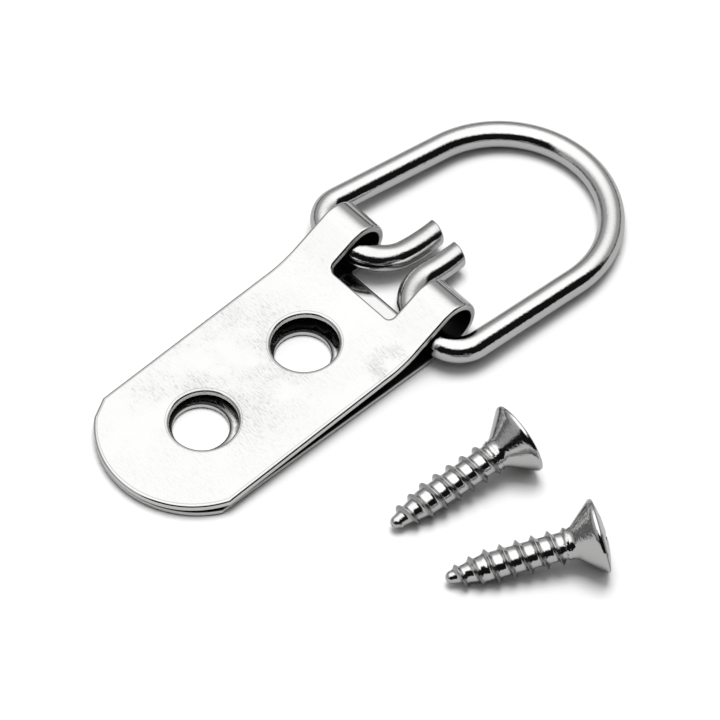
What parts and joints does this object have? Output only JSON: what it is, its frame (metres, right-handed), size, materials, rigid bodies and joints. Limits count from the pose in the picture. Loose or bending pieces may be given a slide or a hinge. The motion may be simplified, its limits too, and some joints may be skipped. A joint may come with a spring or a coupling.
{
  "type": "d-ring picture hanger",
  "caption": "Folded steel strap with screw holes, carrying a hinged D-shaped wire ring that holds picture cord, with its loose countersunk wood screws beside it.",
  "frame": {"origin": "on the strap's flat back, midway between its two screw holes", "axes": "+Y along the strap towards the ring, +Z out of the surface that the strap is screwed to, +X across the strap"},
  "size_m": [0.0487, 0.0572, 0.0067],
  "materials": {
    "strap_nickel": "bright nickel plate with faint tumbling scratches",
    "ring_nickel": "bright nickel plate",
    "screw_nickel": "bright nickel plate"
  },
  "bodies": {
    "strap": {"hanger_strap": "strap_nickel"},
    "ring": {"d_ring": "ring_nickel"},
    "loose_screw_1": {"screw_1": "screw_nickel"},
    "loose_screw_2": {"screw_2": "screw_nickel"}
  },
  "joints": [
    {"name": "ring_swing", "type": "hinge", "parent": "strap", "child": "ring", "pos_m": [-0.00015, 0.01575, 0.0022], "axis": [0.9959, -0.0906, 0], "range_deg": [0, 120]},
    {"name": "screw_1_roll", "type": "hinge", "parent": "strap", "child": "loose_screw_1", "pos_m": [0.01869, -0.00672, 0], "axis": [0, 0, 1], "range_deg": [-9, 16]},
    {"name": "screw_2_roll", "type": "hinge", "parent": "strap", "child": "loose_screw_2", "pos_m": [0.02413, -0.00643, 0], "axis": [0, 0, 1], "range_deg": [-16, 9]}
  ]
}
